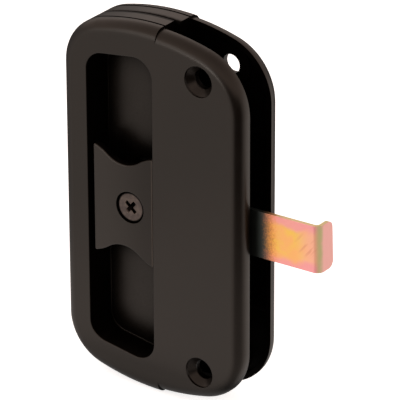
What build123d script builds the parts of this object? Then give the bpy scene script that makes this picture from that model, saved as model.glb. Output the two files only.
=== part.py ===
from build123d import *
from math import radians, sin, sqrt
import os

# Screen door latch with a pull on each side, in millimetres. The origin is midway between the two
# fixing holes, in the middle of the gap that takes the door's stile. +Z is up, the inside of the
# door is towards -Y, and the latch strip reaches out towards +X.

# Fixing holes, on the line X = 0
hole_spacing = 84.1
hole_diameter = 5.4
inside_mouth = 8.7
inside_mouth_depth = 0.65
outside_mouth = 7.0
outside_mouth_depth = 0.1

# Outline of both halves, seen from the front
plate_right = 13.5
plate_left = 44.0
crown_margin = 10.25
crown_radius = 67.0
crown_offset = 16.3
corner_right = 16.5
corner_left = 13.5

# Section of each half, measured from its own outer face
flange_depth = 4.0
stile_gap = 9.5
edge_radius = 3.3
face_thickness = 2.0
lip_thickness = 1.6
rib_thickness = 1.2
rib_pitch = 17.0
rib_count = 4
rib_setback = 0.4
boss_diameter = 11.5
inside_boss_setback = 0.0
outside_boss_setback = 1.0

# The thick pull part, left of the stile's edge
pull_proud = 0.6
inside_end = 13.7
end_step = 1.6
pull_wall = 1.8
inside_seam_round = 0.3
outside_seam_round = 1.0
groove_width = 0.6
groove_depth = 0.4

# Finger pocket
pocket_side_margin = 7.8
pocket_end_margin = 9.3
pocket_end_slope = 0.15
pocket_corner = 5.5
pocket_floor = 1.25
pocket_wall = 1.3
pocket_mouth_radius = 0.3
pocket_floor_radius = 0.35
left_draft = 1.3
end_draft = 0.5
right_draft = 0.15

# Thumb slides, one in each pocket
slide_recess = 0.3
slide_plate = 2.0
slide_horn = 16.2
slide_notch_depth = 4.3
slide_notch_radius = 8.3
slide_tip_radius = 14.0
slide_corner = 0.5
slide_left_gap = 1.6
slide_right_gap = 0.25
slide_edge_radius = 0.45
slide_leg = 1.6
travel = 8.0

# Slide screw, a number 8 flat head with a cross recess
screw_offset = 2.275
screw_diameter = 4.0
screw_head = 8.0
screw_head_edge = 0.5
screw_sink = 0.4
screw_recess_diameter = 9.0
screw_recess_depth = 1.5
cross_span = 4.2
cross_width = 1.15
cross_depth = 2.1
cross_turn = 50.0
boss_wall = 1.7
bore_floor = 2.1
bore_run_out = 0.8

# Latch strip of flat steel, bent backwards at its end. Its hole is loose on the screw, so that it
# hangs a little low there and can lie at a slight tilt.
strip_height = 13.25
strip_thickness = 1.1
strip_lift = 0.3
strip_tail = 7.8
strip_reach = 33.9
strip_bend_radius = 0.9
strip_flange = 6.2
strip_tip_corner = 2.0
strip_drop = 0.6
strip_tilt = 1.8

# Clearances
running = 0.15
slot_clearance = 0.4
strip_play = 0.5
screw_clearance = 0.05

# Derived sizes across and up the face
crown_height = hole_spacing / 2 + crown_margin
outside_end = inside_end - end_step
pocket_left = plate_left - pocket_side_margin
pocket_right = inside_end + pocket_wall
pocket_half_height = crown_height - pocket_end_margin
strip_swing = strip_tail * sin(radians(strip_tilt))
channel_half = strip_height / 2 + strip_drop + strip_swing + strip_play / 2
slide_left = -pocket_left + slide_left_gap
slide_right = -pocket_right - slide_right_gap
slide_middle = (slide_left + slide_right) / 2
screw_x = -slide_middle - screw_offset
strip_left = screw_x + strip_tail
runner_left = -pocket_left + left_draft + pocket_floor_radius + slot_clearance
runner_right = -pocket_right - right_draft - pocket_floor_radius - slot_clearance
slide_boss = screw_diameter + 2 * boss_wall
slot_width = slide_boss + 2 * slot_clearance
slot_length = slide_boss + 2 * travel + 2 * slot_clearance

# Derived heights, counted from the seam between the halves to the outer face
half_depth = flange_depth + stile_gap / 2
flange_inner = half_depth - flange_depth
recess_roof = half_depth - face_thickness
strip_bottom = pocket_floor + strip_lift
strip_top = strip_bottom + strip_thickness
slide_top = half_depth - slide_recess
slide_underside = slide_top - slide_plate
screw_top = slide_top - screw_sink
bore_end = slide_top - bore_floor
screw_tip = bore_run_out - bore_end

# Sizes of the cutting shapes: one that clears the whole part, and one that is barely there
wide = 4 * (plate_left + crown_height)
hair = 0.01


def prism(sketch, low, high):
    """Straight block over a flat outline, from one height to another."""
    return Pos(0, 0, low) * extrude(sketch, high - low)


def disc(diameter, low, high):
    """Straight round block about the vertical through the origin."""
    return prism(Circle(diameter / 2), low, high)


def cone(low_diameter, high_diameter, low, high):
    """Cone about the vertical through the origin."""
    return Pos(0, 0, (low + high) / 2) * Cone(low_diameter / 2, high_diameter / 2, high - low)


def near(items, axis, value):
    """Those vertices or edges that lie at one coordinate along an axis."""
    return items.filter_by_position(axis, value - hair, value + hair)


def right_of(x):
    """A half-plane, as a large rectangle whose left side is at x."""
    return Pos(x + wide / 2, 0) * Rectangle(wide, wide)


def left_of(x):
    """A half-plane, as a large rectangle whose right side is at x."""
    return Pos(x - wide / 2, 0) * Rectangle(wide, wide)


def crowned_outline(grow=0.0):
    """Outline with straight sides, crowned ends and round corners, grown evenly all round."""
    right = plate_right + grow
    left = plate_left + grow
    arc_centre = crown_height - crown_radius
    outline = Pos((right - left) / 2, 0) * Rectangle(right + left, 2 * (crown_height + grow))
    outline &= Pos(-crown_offset, arc_centre) * Circle(crown_radius + grow)
    outline &= Pos(-crown_offset, -arc_centre) * Circle(crown_radius + grow)
    outline = fillet(near(outline.vertices(), Axis.X, right), corner_right + grow)
    return fillet(near(outline.vertices(), Axis.X, -left), corner_left + grow)


def pocket_outline(grow=0.0, left=0.0, right=0.0, ends=0.0):
    """Pocket outline: its ends slope with the crown. Each side can be drawn in by a draft."""
    x_left = -pocket_left + left - grow
    x_right = -pocket_right - right + grow
    middle = -(pocket_left + pocket_right) / 2
    height = pocket_half_height - ends + grow
    z_left = height + pocket_end_slope * (x_left - middle)
    z_right = height + pocket_end_slope * (x_right - middle)
    corners = [(x_left, -z_left), (x_right, -z_right), (x_right, z_right), (x_left, z_left)]
    outline = make_face(Polyline(*corners, close=True))
    return fillet(outline.vertices(), pocket_corner + grow)


def pocket_space():
    """The space in the pocket: drafted walls and a rounded foot where they meet the floor."""
    mouth = Pos(0, 0, half_depth) * pocket_outline()
    foot = Pos(0, 0, pocket_floor) * pocket_outline(left=left_draft, right=right_draft, ends=end_draft)
    space = loft([foot, mouth])
    return fillet(space.edges().group_by(Axis.Z)[0], pocket_floor_radius)


def fixing_hole(mouth, mouth_depth):
    """Hole with a short straight mouth and a cone below it, as for a flat screw head."""
    cone_high = half_depth - mouth_depth
    cone_low = cone_high - (mouth - hole_diameter) / 2
    hole = disc(hole_diameter, 0, half_depth)
    hole += cone(hole_diameter, mouth, cone_low, cone_high)
    return hole + disc(mouth, cone_high, half_depth + hair)


def pull_block(end, seam_round):
    """The thick left part: side walls run down to the seam, and it ends at the stile's edge."""
    block = prism(crowned_outline(pull_proud), 0, half_depth)
    block = fillet(block.edges().group_by(Axis.Z)[-1], edge_radius)
    block = fillet(block.edges().group_by(Axis.Z)[0], seam_round)
    ring = crowned_outline(2 * pull_proud) - crowned_outline(pull_proud - groove_depth)
    block -= prism(ring, flange_inner - groove_width, flange_inner)
    return block & prism(left_of(-end), 0, half_depth)


def pull_hollow():
    """Moulding hollow between the outer wall and the pocket's wall, open at the seam."""
    space = crowned_outline(pull_proud - pull_wall) & left_of(-pocket_right)
    space -= pocket_outline(grow=pocket_wall)
    for z in rib_heights():
        space -= Pos(-plate_left, z) * Rectangle(2 * (plate_left - pocket_left), rib_thickness)
    return prism(space, 0, recess_roof)


def rib_heights():
    """Heights of the cross ribs, evenly spaced about the middle."""
    first = -rib_pitch * (rib_count - 1) / 2
    return [first + rib_pitch * i for i in range(rib_count)]


def flange_recess(end, boss_setback):
    """Shallow recess behind the flange's face, with the ribs and screw bosses left standing."""
    area = crowned_outline(-lip_thickness) & right_of(-end)
    space = prism(area, flange_inner, recess_roof)
    for z in rib_heights():
        rib = Pos(0, z) * Rectangle(wide, rib_thickness)
        space -= prism(rib & area, flange_inner + rib_setback, recess_roof)
    for z in (-hole_spacing / 2, hole_spacing / 2):
        boss = Pos(0, z) * Circle(boss_diameter / 2)
        space -= prism(boss, flange_inner + boss_setback, recess_roof)
    return space


def handle_half(end, seam_round, hole, boss_setback):
    """One moulded half, lying on its seam with the outer face up."""
    flange = prism(crowned_outline(), flange_inner, half_depth)
    flange = fillet(flange.edges().group_by(Axis.Z)[-1], edge_radius)
    half = flange + pull_block(end, seam_round)
    half -= pull_hollow()
    half -= flange_recess(end, boss_setback)
    half -= pocket_space()
    mouth = near(half.edges(), Axis.Z, half_depth)
    mouth = mouth.filter_by_position(Axis.X, -pocket_left - hair, -pocket_right + hair)
    reach = pocket_half_height + pocket_end_slope * (pocket_left - pocket_right)
    half = fillet(mouth.filter_by_position(Axis.Y, -reach, reach), pocket_mouth_radius)
    slot = Pos(-screw_x, 0) * Rot(Z=90) * SlotOverall(slot_length, slot_width)
    half -= prism(slot, 0, pocket_floor)
    for z in (-hole_spacing / 2, hole_spacing / 2):
        half -= Pos(0, z) * hole
    return half


def strip_window():
    """Window in the inside half's end wall, level with the pocket's floor, for the strip."""
    swing = (screw_x - inside_end) * sin(radians(strip_tilt))
    height = 2 * (strip_height / 2 + strip_drop + swing + travel + strip_play)
    area = left_of(-inside_end + hair) & right_of(slide_right) & Rectangle(wide, height)
    return prism(area, pocket_floor, strip_top + slot_clearance)


def slide_outline():
    """Slide seen from the front: its ends are scalloped, and its sides cut off the tips' arcs."""
    arcs = slide_notch_radius + slide_tip_radius
    tip_reach = sqrt(arcs**2 - (arcs - slide_notch_depth) ** 2)
    outline = Rectangle(2 * tip_reach + slide_tip_radius, 2 * slide_horn)
    for side in (-1, 1):
        centre = side * (slide_horn - slide_notch_depth + slide_notch_radius)
        outline -= Pos(0, centre) * Circle(slide_notch_radius)
    tips = outline.vertices().filter_by_position(Axis.X, -tip_reach, tip_reach)
    outline = fillet(tips, slide_tip_radius)
    outline &= Rectangle(slide_right - slide_left, 2 * slide_horn)
    ends = outline.vertices().group_by(Axis.X)
    return Pos(slide_middle, 0) * fillet(ends[0] + ends[-1], slide_corner)


def slide_body():
    """Scalloped plate on two runners that slide on the pocket's floor."""
    outline = slide_outline()
    body = prism(outline, slide_underside, slide_top)
    body = fillet(body.edges().group_by(Axis.Z)[-1], slide_edge_radius)
    runner = Rectangle(runner_right - runner_left, slide_leg)
    for side in (-1, 1):
        place = Pos((runner_left + runner_right) / 2, side * (channel_half + slide_leg / 2))
        body += prism(place * runner, pocket_floor + running, slide_underside)
    return body


def screw_seat():
    """Round recess, head cone and clearance hole for the slide screw."""
    ease = 2 * screw_clearance
    cone_high = screw_top - screw_head_edge
    cone_low = cone_high - (screw_head - screw_diameter) / 2
    seat = disc(screw_recess_diameter, slide_top - screw_recess_depth, slide_top + hair)
    seat += cone(screw_diameter + ease, screw_head + ease, cone_low, cone_high)
    return seat + disc(screw_diameter + ease, 0, cone_low + hair)


def inside_slide():
    """Inside slide: carries the screw head, and a pad under its plate bears on the strip."""
    pad = Rectangle(runner_right - runner_left, 2 * channel_half)
    pad = Pos((runner_left + runner_right) / 2, 0) * pad
    body = slide_body() + prism(pad, strip_top, slide_underside)
    return body - Pos(-screw_x, 0) * screw_seat()


def outside_slide():
    """Outside slide: its boss passes through both floors to the strip and takes the screw."""
    boss = disc(slide_boss, -strip_bottom, slide_underside)
    bore = disc(screw_diameter + 2 * screw_clearance, -strip_bottom - hair, bore_end)
    return slide_body() + Pos(-screw_x, 0) * boss - Pos(-screw_x, 0) * bore


def slide_screw():
    """Flat head screw: short edge, cone, plain shank, blunt tip and cross recess."""
    cone_high = screw_top - screw_head_edge
    cone_low = cone_high - (screw_head - screw_diameter) / 2
    shank_low = screw_tip + screw_diameter / 4
    screw = disc(screw_head, cone_high, screw_top)
    screw += cone(screw_diameter, screw_head, cone_low, cone_high)
    screw += disc(screw_diameter, shank_low, cone_low)
    screw += cone(screw_diameter / 2, screw_diameter, screw_tip, shank_low)
    arm = Box(cross_span, cross_width, cross_depth)
    cross = (arm + Rot(Z=90) * arm) & cone(cross_width, cross_span, -cross_depth / 2, cross_depth / 2)
    screw -= Pos(0, 0, screw_top - cross_depth / 2) * Rot(Z=cross_turn) * cross
    return Pos(-screw_x, 0) * screw


def latch_strip():
    """Flat strip with a bent end, hanging on the screw and tilted a little about it."""
    inner_x = strip_reach - strip_thickness
    profile = make_face(Polyline(
        (-strip_left, 0),
        (strip_reach, 0),
        (strip_reach, -strip_flange),
        (inner_x, -strip_flange),
        (inner_x, -strip_thickness),
        (-strip_left, -strip_thickness),
        close=True,
    ))
    outer = near(near(profile.vertices(), Axis.X, strip_reach), Axis.Y, 0)
    profile = fillet(outer, strip_bend_radius + strip_thickness)
    inner = near(profile.vertices(), Axis.X, inner_x)
    profile = fillet(near(inner, Axis.Y, -strip_thickness), strip_bend_radius)
    strip = Pos(0, strip_height / 2, strip_top) * Rot(X=90) * extrude(profile, strip_height)
    tip = near(strip.edges().filter_by(Axis.X), Axis.Z, strip_top - strip_flange)
    strip = fillet(tip, strip_tip_corner)
    hole = disc(screw_diameter + 2 * (strip_drop + screw_clearance), strip_bottom, strip_top)
    strip -= Pos(-screw_x, 0) * hole
    return Pos(-screw_x, -strip_drop) * Rot(Z=strip_tilt) * Pos(screw_x, 0) * strip


def stand(part):
    """Stands a piece that was modelled lying down up on its edge, outer face towards -Y."""
    return Rot(X=90) * part


def across(part):
    """The same for a piece of the outside half, whose outer face is towards +Y."""
    return mirror(stand(part), about=Plane.XZ)


inside_hole = fixing_hole(inside_mouth, inside_mouth_depth)
inside_handle = handle_half(inside_end, inside_seam_round, inside_hole, inside_boss_setback)
inside_handle -= strip_window()
outside_hole = fixing_hole(outside_mouth, outside_mouth_depth)
outside_handle = handle_half(outside_end, outside_seam_round, outside_hole, outside_boss_setback)

pieces = {
    "inside_handle": stand(inside_handle),
    "outside_handle": across(outside_handle),
    "inside_slide": stand(inside_slide()),
    "outside_slide": across(outside_slide()),
    "slide_screw": stand(slide_screw()),
    "latch_strip": stand(latch_strip()),
}

os.makedirs("parts", exist_ok=True)
for name, piece in pieces.items():
    piece.label = name
    export_step(piece, f"parts/{name}.step")
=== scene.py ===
"""Looks of a screen door latch: two moulded halves, a thumb slide in each, and a plated steel strip."""
import math

import bpy
import numpy as np
from mathutils import Matrix, Vector


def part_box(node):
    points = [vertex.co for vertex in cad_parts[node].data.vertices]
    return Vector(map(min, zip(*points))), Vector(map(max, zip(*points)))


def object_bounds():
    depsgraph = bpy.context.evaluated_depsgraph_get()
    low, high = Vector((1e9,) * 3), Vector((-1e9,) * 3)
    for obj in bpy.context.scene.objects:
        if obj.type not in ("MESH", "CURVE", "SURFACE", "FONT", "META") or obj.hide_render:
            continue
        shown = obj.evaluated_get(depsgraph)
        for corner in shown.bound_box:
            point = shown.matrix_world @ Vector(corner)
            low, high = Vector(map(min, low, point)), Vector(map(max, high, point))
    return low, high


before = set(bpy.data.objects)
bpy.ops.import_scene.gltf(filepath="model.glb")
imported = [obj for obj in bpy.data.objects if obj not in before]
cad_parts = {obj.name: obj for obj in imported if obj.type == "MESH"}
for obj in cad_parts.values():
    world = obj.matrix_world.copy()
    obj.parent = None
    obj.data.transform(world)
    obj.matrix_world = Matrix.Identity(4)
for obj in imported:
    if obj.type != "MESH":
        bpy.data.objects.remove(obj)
cad_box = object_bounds()

MM = 0.001


# Sizes and places that the finishes follow. The front faces -Y, and the seam of the halves is at Y 0.
# A band runs from where a finish starts to where it is whole.

slide_low, slide_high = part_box("inside_slide")
screw_low, screw_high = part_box("slide_screw")

# The halves: bands of depth from the seam, heights from the middle, and the rolled edge at the foot
FACE_BAND = (6.0 * MM, 6.6 * MM)
SKIN_BAND = (4.8 * MM, 5.2 * MM)
SEAM_FRONT_BAND = (-0.85 * MM, -1.05 * MM)
SEAM_BACK_BAND = (-0.4 * MM, 2.4 * MM)
PULL_RIGHT = -6.0 * MM
HOLE_HEIGHT = 42.05 * MM
HOLE_MOUTH = 4.5 * MM
FOOT = cad_box[0][2]
FOOT_BAND = (FOOT + 8.9 * MM, FOOT + 4.9 * MM)

# The thumb slides: widths from their middle line, with a margin round the plate
SLIDE_MARGIN = 0.15 * MM
SLIDE_MIDDLE = (slide_low[0] + slide_high[0]) / 2
SLIDE_SIDE = (slide_high[0] - slide_low[0]) / 2 + SLIDE_MARGIN
SLIDE_REACH = slide_high[2] + 2 * SLIDE_MARGIN
SLIDE_EDGE = SLIDE_SIDE - 1.05 * MM
SLIDE_BAND = (-8.2 * MM, 10.0 * MM)

# The screw: depths from the top of its head, radii from its axis
SCREW_X = (screw_low[0] + screw_high[0]) / 2
SCREW_HEAD = (screw_high[0] - screw_low[0]) / 2
SCREW_TOP = screw_low[1]
CROSS_BAND = (SCREW_TOP + 0.12 * MM, SCREW_TOP + 0.5 * MM)
RIM_BAND = (SCREW_HEAD - 0.45 * MM, SCREW_HEAD - 0.05 * MM)

# The strip: lengths along it from the screw, once its tilt is taken out
STRIP_TILT = math.radians(1.8)
STRIP_SCREW = (SCREW_X, 0.0, -0.6 * MM)
STRIP_FRONT = -2.65 * MM
STRIP_BEND = 33.9 * MM - SCREW_X
STRIP_ROOT = 17.05 * MM - SCREW_X
SIDE_BAND = (3.4 * MM, 5.6 * MM)
BEND_BAND = (STRIP_BEND - 8.5 * MM, STRIP_BEND - 2.0 * MM)
OLIVE_BAND = (STRIP_BEND - 1.6 * MM, STRIP_BEND - 0.3 * MM)
CRAZE_PLACE = STRIP_BEND - 0.1 * MM
CRAZE_BAND = (1.8 * MM, 0.8 * MM)
FLANGE_BAND = (STRIP_FRONT + 0.6 * MM, STRIP_FRONT + 2.1 * MM)
WARM_BAND = (STRIP_ROOT + 4.6 * MM, STRIP_ROOT + 1.0 * MM)
DARK_BAND = (STRIP_ROOT + 3.2 * MM, STRIP_ROOT - 1.5 * MM)
CLOUD_SHIFT = 4.5 * MM
FLANGE_SHIFT = 2.0 * MM
SPECK_SHIFT = 2.4 * MM
SCRATCH_TURN = math.radians(51)
SCRATCH_PLACE = (STRIP_BEND - 4.15 * MM, STRIP_FRONT, 0.6 * MM)
SCRATCH_BAND = (4.0 * MM, 1.8 * MM)


# Node building

class Graph:
    """A node tree that is written as nested calls: each call makes one node and returns it."""

    def __init__(self, tree):
        self.tree = tree
        self.links = tree.links

    def add(self, kind, inputs=None, **settings):
        """Makes a node. Inputs are values or the output sockets of other nodes."""
        made = self.tree.nodes.new(kind)
        for name, value in settings.items():
            setattr(made, name, value)
        for key, value in (inputs or {}).items():
            self.feed(made.inputs[key], value)
        return made

    def feed(self, socket, value):
        """Links a socket to another socket, or sets its value."""
        if isinstance(value, bpy.types.NodeSocket):
            self.links.new(value, socket)
        else:
            socket.default_value = value

    def math(self, operation, a, b=0.0):
        """One arithmetic step on one or two numbers."""
        return self.add("ShaderNodeMath", {0: a, 1: b}, operation=operation).outputs[0]

    def plus(self, a, b):
        """The sum of two numbers."""
        return self.math("ADD", a, b)

    def minus(self, a, b):
        """The first number less the second."""
        return self.math("SUBTRACT", a, b)

    def times(self, a, b):
        """The product of two numbers."""
        return self.math("MULTIPLY", a, b)

    def larger(self, a, b):
        """The larger of two numbers."""
        return self.math("MAXIMUM", a, b)

    def size(self, value):
        """A number without its sign."""
        return self.math("ABSOLUTE", value)

    def below(self, value, limit):
        """1 where a number is under its limit, and 0 elsewhere."""
        return self.math("LESS_THAN", value, limit)

    def rise(self, value, low, high, start=0.0, end=1.0):
        """A smooth step: start at low and end at high. It runs downwards where low is the larger."""
        made = self.add(
            "ShaderNodeMapRange",
            {"Value": value, "From Min": low, "From Max": high, "To Min": start, "To Max": end},
            interpolation_type="SMOOTHSTEP",
        )
        return made.outputs["Result"]

    def wobble(self, noise, width):
        """A noise from 0 to 1 turned into a shift of half this width to either side."""
        return self.times(self.minus(noise, 0.5), width)

    def mix(self, factor, a, b):
        """A colour between a and b."""
        made = self.add("ShaderNodeMix", data_type="RGBA")
        self.feed(made.inputs["Factor"], factor)
        self.feed(made.inputs[6], a)
        self.feed(made.inputs[7], b)
        return made.outputs[2]

    def coat(self, under, mask, tone):
        """A tone laid over a colour, as thick as the mask times the tone's own strength."""
        colour, strength = tone
        return self.mix(self.times(mask, strength), under, colour)

    def profile(self, value, stops):
        """A curve through stops of place and level, eased between them."""
        made = self.add("ShaderNodeValToRGB", {"Fac": value})
        ramp = made.color_ramp
        ramp.interpolation = "EASE"
        while len(ramp.elements) < len(stops):
            ramp.elements.new(1.0)
        for element, (position, level) in zip(ramp.elements, stops):
            element.position = position
            element.color = (level, level, level, 1.0)
        return made.outputs["Color"]

    def noise(self, place, scale, detail=2.0, roughness=0.5):
        """Cloudy noise from 0 to 1, with this many features per metre."""
        inputs = {"Vector": place, "Scale": scale, "Detail": detail, "Roughness": roughness}
        return self.add("ShaderNodeTexNoise", inputs).outputs["Fac"]

    def stretched(self, place, scale):
        """The same place with each axis scaled, for grain that runs one way."""
        return self.add("ShaderNodeMapping", {"Vector": place, "Scale": scale}).outputs["Vector"]

    def parts(self, vector):
        """The X, Y and Z of a vector."""
        split = self.add("ShaderNodeSeparateXYZ", {0: vector})
        return split.outputs[0], split.outputs[1], split.outputs[2]

    def distance(self, place, point):
        """How far a place lies from a point."""
        apart = self.add("ShaderNodeVectorMath", {0: place, 1: point}, operation="DISTANCE")
        return apart.outputs["Value"]

    def off_axis(self, across, up):
        """How far a place lies from an axis: the square root of its two distances squared and added."""
        squares = self.plus(self.math("POWER", across, 2.0), self.math("POWER", up, 2.0))
        return self.math("SQRT", squares)

    def uneven(self, height, strength, depth, normal):
        """A normal that follows fine relief of this depth."""
        inputs = {"Height": height, "Strength": strength, "Distance": depth, "Normal": normal}
        return self.add("ShaderNodeBump", inputs).outputs["Normal"]


def rgb(red, green, blue):
    """A display colour from 0 to 255, as the linear colour that the sockets take: a straight line
    near black, and a power of 2.4 above it."""
    parts = np.array([red, green, blue]) / 255
    linear = np.where(parts <= 0.04045, parts / 12.92, ((parts + 0.055) / 1.055) ** 2.4)
    return (*linear.tolist(), 1.0)


def grey(level):
    """A linear grey."""
    return (level, level, level, 1.0)


def dimmed(colour, share):
    """A share of a linear colour."""
    return (*(share * part for part in colour[:3]), 1.0)


def new_material(name):
    """A material with an empty shader: its graph, its shader and its object coordinates."""
    material = bpy.data.materials.new(name)
    material.use_nodes = True
    graph = Graph(material.node_tree)
    shader = material.node_tree.nodes["Principled BSDF"]
    place = graph.add("ShaderNodeTexCoord").outputs["Object"]
    return material, graph, shader, place


BEVEL_SAMPLES = 6
EDGE_TURN = (0.995, 0.88)


def softened(graph, radius):
    """The surface's normal, rounded over the sharp edges by this radius."""
    return graph.add("ShaderNodeBevel", {"Radius": radius}, samples=BEVEL_SAMPLES).outputs[0]


def edge_mask(graph, radius):
    """1 on sharp edges and 0 on flats, from how far a bevel would turn the surface. The bevelled
    normal comes with it."""
    soft = softened(graph, radius)
    flat = graph.add("ShaderNodeNewGeometry").outputs["Normal"]
    dot = graph.add("ShaderNodeVectorMath", {0: soft, 1: flat}, operation="DOT_PRODUCT")
    return graph.rise(dot.outputs["Value"], *EDGE_TURN), soft


# Moulded plastic of the halves and slides. A tone is a colour and how strongly it covers.

HANDLE_PIGMENT = (0.0052, 0.0036, 0.0026, 1.0)
SLIDE_PIGMENT = (0.006, 0.0042, 0.0032, 1.0)
# Painted highlight: a lighter tone on all sharp edges of the plastic
PLASTIC_EDGE_HIGHLIGHT = ((0.018, 0.013, 0.01, 1.0), 0.6)
# Painted highlight: a light tone where the slide's right edge turns to the right
SLIDE_EDGE_HIGHLIGHT = (rgb(108, 102, 96), 1.0)
CLOUD_SHARE = 0.75
# Painted shade: the share of the pigment left in deep corners, along the seam and on inner faces
PAINTED_SHADE_SHARE = 0.25
PLASTIC_CLOUDS = 45.0
PLASTIC_CLOUD_BAND = (0.35, 0.65)
PLASTIC_GRAINS = 2600.0
PLASTIC_SMEARS = (260.0, 90.0, 420.0)
PLASTIC_EDGE = 0.22 * MM
HANDLE_GRAIN_DEPTH = 0.012 * MM
SLIDE_GRAIN_DEPTH = 0.01 * MM
GRAIN_STRENGTH = 0.35

HANDLE_ROUGHNESS = 0.26
SLIDE_ROUGHNESS = 0.25
SMEAR_ROUGHNESS = 0.07
CLOUD_ROUGHNESS = 0.03
PLASTIC_IOR = 1.43
SHEEN_TINT = (1.0, 0.88, 0.79, 1.0)
SHEEN_LEAST = 0.02
SHEEN_SPAN = 0.48

# Painted shade and painted sheen of the plastic, as shares of the full sheen and colour
CORNER_REACH = 22.0 * MM
CORNER_BAND = (0.47, 0.82)
HOLE_SHEEN = 0.85
FOOT_SHEEN = 0.45
SEAM_SHEEN = 0.15
INWARD_BAND = (0.65, 0.35)
EDGE_HIGHLIGHT_BAND = (0.12, 0.4)
SLIDE_PAINTED_SHEEN = (0.28, -0.24)


def open_mask(graph):
    """0 in deep corners and 1 in the open, from how much of the room a place can see."""
    seen = graph.add("ShaderNodeAmbientOcclusion", {"Distance": CORNER_REACH}, samples=8)
    return graph.rise(seen.outputs["AO"], *CORNER_BAND)


def outer_faces(graph, side, depth, right, back):
    """1 on faces that look away from the seam, and 0 on those that look towards it. Walls of the pull
    and its pocket that look to the right count with the latter."""
    inward = graph.times(graph.times(back, graph.math("SIGN", depth)), -1.0)
    pull_wall = graph.times(right, graph.below(side, PULL_RIGHT))
    return graph.rise(graph.larger(inward, pull_wall), *INWARD_BAND)


def slide_masks(graph, side, height, near_face, right):
    """Where a thumb slide's right edge lies, how strong its painted highlight is where that edge turns
    to the right, and the factor by which the painted sheen of the slide's face fades from left to
    right."""
    off_middle = graph.minus(side, SLIDE_MIDDLE)
    in_reach = graph.below(graph.size(height), SLIDE_REACH)
    in_width = graph.below(graph.size(off_middle), SLIDE_SIDE)
    face = graph.times(graph.times(in_reach, in_width), near_face)
    edge = graph.times(face, graph.below(SLIDE_EDGE, off_middle))
    edge_highlight = graph.times(edge, graph.rise(right, *EDGE_HIGHLIGHT_BAND))
    # Painted sheen: brighter on the left of the slide's face and darker on its right
    painted_sheen_fade = graph.plus(1.0, graph.times(face, graph.rise(off_middle, *SLIDE_BAND, *SLIDE_PAINTED_SHEEN)))
    return edge, edge_highlight, painted_sheen_fade


def plastic_painted_light(graph, place):
    """How much painted light the plastic shows, in its sheen and in its colour, with the painted sheen
    that fades across the slide's face, and how strong the painted highlight on the slide's edge is.
    Deep corners, the seam and inner faces get painted shade, but fixing holes and the foot get less of
    it than such corners."""
    side, depth, height = graph.parts(place)
    right, back, _ = graph.parts(graph.add("ShaderNodeNewGeometry").outputs["True Normal"])
    # Painted shade: the level falls in deep corners, along the seam and on faces that look towards the
    # seam
    painted_light = open_mask(graph)

    near_face = graph.rise(graph.size(depth), *FACE_BAND, 0.0, HOLE_SHEEN)
    from_hole = graph.minus(graph.size(height), HOLE_HEIGHT)
    in_hole = graph.below(graph.off_axis(side, from_hole), HOLE_MOUTH)
    painted_light = graph.larger(painted_light, graph.times(near_face, in_hole))

    foot = graph.rise(height, *FOOT_BAND, 0.0, FOOT_SHEEN)
    skin = graph.rise(graph.size(depth), *SKIN_BAND)
    painted_light = graph.plus(painted_light, graph.times(graph.times(foot, skin), graph.minus(1.0, painted_light)))

    off_seam = graph.larger(graph.rise(depth, *SEAM_FRONT_BAND), graph.rise(depth, *SEAM_BACK_BAND))
    painted_light = graph.times(painted_light, graph.rise(off_seam, 0.0, 1.0, SEAM_SHEEN, 1.0))
    painted_light = graph.times(painted_light, outer_faces(graph, side, depth, right, back))

    edge, edge_highlight, painted_sheen_fade = slide_masks(graph, side, height, near_face, right)
    return graph.times(graph.larger(painted_light, edge), painted_sheen_fade), edge_highlight


def moulded_plastic(name, pigment, roughness, grain_depth):
    """Dark pigmented plastic: cloudy colour, fine moulded grain, painted highlights on edges, painted
    shade in corners.
    """
    material, graph, shader, place = new_material(name)
    edge, soft_normal = edge_mask(graph, PLASTIC_EDGE)
    cloud = graph.noise(place, PLASTIC_CLOUDS, detail=3.0)
    grain = graph.noise(place, PLASTIC_GRAINS, roughness=0.6)
    smear = graph.noise(graph.stretched(place, PLASTIC_SMEARS), 1.0, detail=4.0)
    painted_light, edge_highlight = plastic_painted_light(graph, place)

    colour = graph.rise(cloud, *PLASTIC_CLOUD_BAND)
    colour = graph.mix(colour, dimmed(pigment, CLOUD_SHARE), pigment)
    # Painted highlights: a lighter tone on sharp edges and where the slide's right edge turns to the
    # right
    colour = graph.coat(colour, edge, PLASTIC_EDGE_HIGHLIGHT)
    colour = graph.coat(colour, edge_highlight, SLIDE_EDGE_HIGHLIGHT)
    # Painted shade: where the painted light is low, the colour falls to a share of the pigment
    graph.feed(shader.inputs["Base Color"], graph.mix(painted_light, dimmed(pigment, PAINTED_SHADE_SHARE), colour))

    gloss = graph.plus(roughness, graph.times(smear, SMEAR_ROUGHNESS))
    gloss = graph.plus(gloss, graph.times(cloud, CLOUD_ROUGHNESS))
    graph.feed(shader.inputs["Roughness"], gloss)
    # The painted light also sets the sheen: low in painted shade, higher on the left of the slide's
    # face
    sheen = graph.plus(SHEEN_LEAST, graph.times(painted_light, SHEEN_SPAN))
    graph.feed(shader.inputs["Specular IOR Level"], sheen)
    shader.inputs["Specular Tint"].default_value = SHEEN_TINT
    shader.inputs["IOR"].default_value = PLASTIC_IOR
    graph.feed(shader.inputs["Normal"], graph.uneven(grain, GRAIN_STRENGTH, grain_depth, soft_normal))
    return material


# Finish of the screw

SCREW_BROWN = rgb(80, 71, 68)
SCREW_LIGHT = rgb(98, 87, 81)
# Painted highlight on the screw's edges, then painted shade in its cross and round its rim
SCREW_EDGE_HIGHLIGHT = (rgb(146, 126, 110), 0.7)
SCREW_PAINTED_SHADE = (rgb(12, 10, 9), 0.96)
SCREW_CLOUDS = 700.0
SCREW_CLOUD_BAND = (0.35, 0.7)
SCREW_GLOSS_BAND = (0.2, 0.8)
SCREW_ROUGHNESS = (0.3, 0.42)
SCREW_EDGE = 0.12 * MM
SCREW_RELIEF = 0.03 * MM
SCREW_STRENGTH = 0.25


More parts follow.
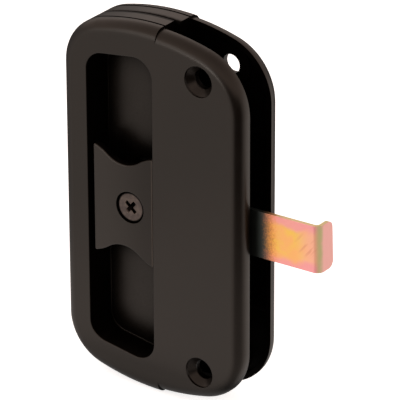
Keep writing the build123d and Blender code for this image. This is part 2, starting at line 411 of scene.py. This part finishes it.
def screw_bronze():
    """Dark bronze finish on the steel screw, with a painted highlight on its edges and painted shade
    in its cross and round its rim.
    """
    material, graph, shader, place = new_material("screw_bronze")
    edge, soft_normal = edge_mask(graph, SCREW_EDGE)
    cloud = graph.noise(place, SCREW_CLOUDS, detail=3.0)
    side, depth, height = graph.parts(place)
    in_cross = graph.rise(depth, *CROSS_BAND)
    at_rim = graph.rise(graph.off_axis(graph.minus(side, SCREW_X), height), *RIM_BAND)

    colour = graph.mix(graph.rise(cloud, *SCREW_CLOUD_BAND), SCREW_BROWN, SCREW_LIGHT)
    # Painted highlight on the edges, and painted shade in the cross and round the rim
    colour = graph.coat(colour, edge, SCREW_EDGE_HIGHLIGHT)
    colour = graph.coat(colour, graph.larger(in_cross, at_rim), SCREW_PAINTED_SHADE)
    graph.feed(shader.inputs["Base Color"], colour)
    shader.inputs["Metallic"].default_value = 1.0
    gloss = graph.rise(cloud, *SCREW_GLOSS_BAND, *SCREW_ROUGHNESS)
    graph.feed(shader.inputs["Roughness"], gloss)
    relief = graph.uneven(cloud, SCREW_STRENGTH, SCREW_RELIEF, soft_normal)
    graph.feed(shader.inputs["Normal"], relief)
    return material


# Yellow zinc of the strip

GOLD = rgb(255, 188, 118)
BRIGHT_GOLD = rgb(250, 208, 88)
BEND_PINK = (rgb(252, 184, 160), 0.85)
SIDE_PINK = (rgb(250, 163, 171), 0.85)
SCRATCH_RED = (rgb(226, 138, 112), 0.42)
BEND_OLIVE = (rgb(200, 208, 152), 0.85)
FLANGE_PINK = (rgb(255, 200, 194), 1.0)
CUT_STRAW = (rgb(232, 222, 160), 0.8)
ROOT_ORANGE = (rgb(244, 150, 78), 0.75)
# Darker chromate with painted shade at the strip's root
ROOT_CHROMATE_AND_SHADE = (rgb(58, 72, 72), 0.98)
ZINC_CLOUDS = 210.0
ZINC_CLOUD_SHAPE = (0.8, 0.8, 1.0)
ZINC_CLOUD_BAND = (0.35, 0.7)
ZINC_STREAKS = (900.0, 900.0, 90.0)
ZINC_SPECKS = 2400.0
SCRATCH_LINES = (130.0, 130.0, 2100.0)
SCRATCH_LINE_BAND = (0.5, 0.6)
CUT_TURN = (0.5, 0.9)
ZINC_EDGE = 0.18 * MM
ZINC_RELIEF = 0.02 * MM
ZINC_STRENGTH = 0.3

ZINC_METAL = (0.9, 0.35)
ZINC_ROUGHNESS = 0.28
STREAK_ROUGHNESS = 0.14
CRAZE_ROUGHNESS = 0.42


def scratches(graph, level):
    """Fine slanting scratches in a spot near the bend, from 0 to 1."""
    turned = graph.add("ShaderNodeMapping", {"Vector": level, "Rotation": (0.0, SCRATCH_TURN, 0.0)})
    lines = graph.noise(graph.stretched(turned.outputs["Vector"], SCRATCH_LINES), 1.0, detail=3.0)
    spot = graph.rise(graph.distance(level, SCRATCH_PLACE), *SCRATCH_BAND)
    return graph.times(graph.rise(lines, *SCRATCH_LINE_BAND), spot)


def zinc_colour(graph, level, cloud):
    """Gold in the middle and pink towards the sides and the bend, with olive along the bend itself,
    straw on the cut edges, and a speckled root that runs from orange to nearly black. The near-black
    is darker chromate with painted shade where the strip comes out from behind the handle."""
    along, deep, across = graph.parts(level)
    shift = graph.wobble(cloud, CLOUD_SHIFT)
    near_side = graph.rise(graph.plus(graph.size(across), shift), *SIDE_BAND)
    near_bend = graph.rise(graph.plus(along, shift), *BEND_BAND)
    colour = graph.mix(graph.rise(cloud, *ZINC_CLOUD_BAND), GOLD, BRIGHT_GOLD)
    colour = graph.coat(colour, near_bend, BEND_PINK)
    colour = graph.coat(colour, near_side, SIDE_PINK)
    colour = graph.coat(colour, scratches(graph, level), SCRATCH_RED)

    colour = graph.coat(colour, graph.rise(along, *OLIVE_BAND), BEND_OLIVE)
    behind_front = graph.plus(deep, graph.wobble(cloud, FLANGE_SHIFT))
    colour = graph.coat(colour, graph.rise(behind_front, *FLANGE_BAND), FLANGE_PINK)
    _, _, up = graph.parts(graph.add("ShaderNodeNewGeometry").outputs["Normal"])
    colour = graph.coat(colour, graph.rise(graph.size(up), *CUT_TURN), CUT_STRAW)

    speck = graph.noise(level, ZINC_SPECKS, detail=1.0)
    speckled = graph.plus(along, graph.wobble(speck, SPECK_SHIFT))
    colour = graph.coat(colour, graph.rise(speckled, *WARM_BAND), ROOT_ORANGE)
    # Painted shade with darker chromate at the root, where the strip comes out from behind the handle
    return graph.coat(colour, graph.rise(speckled, *DARK_BAND), ROOT_CHROMATE_AND_SHADE)


def yellow_zinc():
    """Chromated zinc: an iridescent coat that is brushed along the strip, and crazed at its bend."""
    material, graph, shader, place = new_material("yellow_zinc")
    inputs = {"Vector": place, "Location": STRIP_SCREW, "Rotation": (0.0, -STRIP_TILT, 0.0)}
    level = graph.add("ShaderNodeMapping", inputs, vector_type="TEXTURE").outputs["Vector"]
    cloud = graph.noise(graph.stretched(level, ZINC_CLOUD_SHAPE), ZINC_CLOUDS, detail=3.0)
    streak = graph.noise(graph.stretched(level, ZINC_STREAKS), 1.0, detail=3.0)
    along, _, _ = graph.parts(level)
    crazed = graph.rise(graph.size(graph.minus(along, CRAZE_PLACE)), *CRAZE_BAND)

    graph.feed(shader.inputs["Base Color"], zinc_colour(graph, level, cloud))
    graph.feed(shader.inputs["Metallic"], graph.rise(crazed, 0.0, 1.0, *ZINC_METAL))
    gloss = graph.plus(ZINC_ROUGHNESS, graph.times(streak, STREAK_ROUGHNESS))
    gloss = graph.plus(gloss, graph.times(crazed, CRAZE_ROUGHNESS))
    graph.feed(shader.inputs["Roughness"], gloss)
    relief = graph.uneven(streak, ZINC_STRENGTH, ZINC_RELIEF, softened(graph, ZINC_EDGE))
    graph.feed(shader.inputs["Normal"], relief)
    return material


# Each CAD piece and its finish

handle_bronze = moulded_plastic("handle_bronze", HANDLE_PIGMENT, HANDLE_ROUGHNESS, HANDLE_GRAIN_DEPTH)
slide_bronze = moulded_plastic("slide_bronze", SLIDE_PIGMENT, SLIDE_ROUGHNESS, SLIDE_GRAIN_DEPTH)
finishes = {
    "inside_handle": handle_bronze,
    "outside_handle": handle_bronze,
    "inside_slide": slide_bronze,
    "outside_slide": slide_bronze,
    "slide_screw": screw_bronze(),
    "latch_strip": yellow_zinc(),
}
for name, material in finishes.items():
    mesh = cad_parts[name].data
    mesh.materials.clear()
    mesh.materials.append(material)


# Camera, fitted to edges measured in the photograph

SENSOR = 36.0
AZIMUTH = math.radians(36.213)
ELEVATION = math.radians(25.606)
ROLL = math.radians(-0.217)
DISTANCE = 1.01301
TARGET = Vector((-5.232, -0.948, 4.199)) * MM
LENS = 348.08


def direction(azimuth, elevation):
    """Unit vector from the object towards this azimuth, counted from the front, and elevation."""
    flat = math.cos(elevation)
    return Vector((math.sin(azimuth) * flat, -math.cos(azimuth) * flat, math.sin(elevation)))


def aim(obj, place, target, roll=0.0):
    """Puts an object at a place, its own -Z towards the target and its X level, then rolled."""
    back = (place - target).normalized()
    right = Vector((0.0, 0.0, 1.0)).cross(back).normalized()
    up = back.cross(right)
    turned_right = math.cos(roll) * right + math.sin(roll) * up
    turned_up = math.cos(roll) * up - math.sin(roll) * right
    turn = Matrix((turned_right, turned_up, back)).transposed()
    obj.matrix_world = Matrix.Translation(place) @ turn.to_4x4()


camera_data = bpy.data.cameras.new("camera")
camera_data.sensor_fit = "HORIZONTAL"
camera_data.sensor_width = SENSOR
camera_data.lens = LENS
camera_data.clip_start = 0.01
camera = bpy.data.objects.new("camera", camera_data)
bpy.context.scene.collection.objects.link(camera)
aim(camera, TARGET + direction(AZIMUTH, ELEVATION) * DISTANCE, TARGET, ROLL)
bpy.context.scene.camera = camera


# Studio. WALLS gives the room's level by azimuth in degrees, and CEILING by the sine of elevation.
# LAMPS gives each lamp's azimuth and elevation in degrees, its side in metres and its radiance.

BRIGHTEST = 1.36
WALLS = [(-180, 0.16), (-150, 0.1), (-110, 0.12), (-90, 0.18), (-68, 0.42), (-45, 0.66), (-16, 0.66),
         (11, 0.01), (64, 0.01), (90, 0.6), (110, 1.0), (142, 1.0), (166, 0.2), (180, 0.16)]
CEILING = [(0.0, 0.5), (0.43, 0.74), (0.75, 0.58), (1.0, 0.45)]
CEILING_EDGE = (0.02, 0.38)
WALL_COLOUR = (1.0, 0.93, 0.88, 1.0)
CEILING_COLOUR = (1.0, 0.84, 0.76, 1.0)
WHITE = grey(1.0)

FLOOR_HALF = 3.0
FLOOR_PAPER = (grey(0.9), grey(0.93))
FLOOR_CLOUDS = 9.0
FLOOR_ROUGHNESS = 0.9
FLOOR_GLOW = 0.75
FLOOR_MIRRORED = 0.36
FLOOR_FADE = (85.0 * MM, 160.0 * MM)

LAMP_DISTANCE = 1.2
LAMPS = {"key": (-33.0, 14.0, 0.45, 1.4), "corner": (-20.0, -1.0, 0.22, 9.0)}


def studio_world():
    """A warm white room with a dark stretch between the front and the right, and a dimmer ceiling.
    The camera itself sees plain white."""
    world = bpy.data.worlds.new("studio")
    bpy.context.scene.world = world
    world.use_nodes = True
    graph = Graph(world.node_tree)
    graph.tree.nodes.clear()
    side, depth, height = graph.parts(graph.add("ShaderNodeTexCoord").outputs["Generated"])
    turn = graph.math("ARCTAN2", side, graph.times(depth, -1.0))
    around = graph.plus(graph.times(turn, 0.5 / math.pi), 0.5)
    wall = graph.profile(around, [(0.5 + degrees / 360, level) for degrees, level in WALLS])
    ceiling = graph.profile(height, CEILING)
    overhead = graph.rise(height, *CEILING_EDGE)
    level = graph.times(graph.mix(overhead, wall, ceiling), BRIGHTEST)
    tint = graph.mix(overhead, WALL_COLOUR, CEILING_COLOUR)
    room = graph.add("ShaderNodeBackground", {"Color": tint, "Strength": level})
    seen = graph.add("ShaderNodeBackground", {"Color": WHITE, "Strength": 1.0})
    is_camera = graph.add("ShaderNodeLightPath").outputs["Is Camera Ray"]
    mixed = graph.add("ShaderNodeMixShader", {0: is_camera, 1: room.outputs[0], 2: seen.outputs[0]})
    graph.add("ShaderNodeOutputWorld", {"Surface": mixed.outputs[0]})


def floor_white():
    """Mottled white paper that glows only to the eye and in mirrors. Its reflection in the object
    fades with distance."""
    material, graph, shader, place = new_material("floor_white")
    paper = graph.mix(graph.noise(place, FLOOR_CLOUDS), *FLOOR_PAPER)
    graph.feed(shader.inputs["Base Color"], paper)
    shader.inputs["Roughness"].default_value = FLOOR_ROUGHNESS
    path = graph.add("ShaderNodeLightPath")
    seen = graph.larger(path.outputs["Is Camera Ray"], path.outputs["Is Glossy Ray"])
    shader.inputs["Emission Color"].default_value = WHITE
    graph.feed(shader.inputs["Emission Strength"], graph.times(seen, FLOOR_GLOW))
    mirrored = graph.rise(graph.distance(place, (0.0, 0.0, 0.0)), *FLOOR_FADE, FLOOR_MIRRORED, 0.0)
    unseen = graph.times(path.outputs["Is Glossy Ray"], graph.minus(1.0, mirrored))
    clear = graph.add("ShaderNodeBsdfTransparent")
    mixed = graph.add("ShaderNodeMixShader", {0: unseen, 1: shader.outputs[0], 2: clear.outputs[0]})
    graph.feed(material.node_tree.nodes["Material Output"].inputs["Surface"], mixed.outputs[0])
    return material


def studio_floor():
    """A wide flat square just under the object."""
    half, z = FLOOR_HALF, FOOT
    mesh = bpy.data.meshes.new("floor")
    corners = [(-half, -half, z), (half, -half, z), (half, half, z), (-half, half, z)]
    mesh.from_pydata(corners, [], [(0, 1, 2, 3)])
    mesh.materials.append(floor_white())
    floor = bpy.data.objects.new("floor", mesh)
    bpy.context.scene.collection.objects.link(floor)


def soft_lamp(name, azimuth, elevation, size, radiance):
    """A square area lamp that faces the object; radiance is how bright it looks in a mirror."""
    data = bpy.data.lights.new(name, "AREA")
    data.shape = "SQUARE"
    data.size = size
    data.energy = radiance * math.pi * size * size
    lamp = bpy.data.objects.new(name, data)
    bpy.context.scene.collection.objects.link(lamp)
    place = direction(math.radians(azimuth), math.radians(elevation)) * LAMP_DISTANCE
    aim(lamp, place, Vector((0.0, 0.0, 0.0)))


studio_world()
studio_floor()
for lamp_name, settings in LAMPS.items():
    soft_lamp(lamp_name, *settings)
bpy.context.scene.view_settings.view_transform = "Standard"
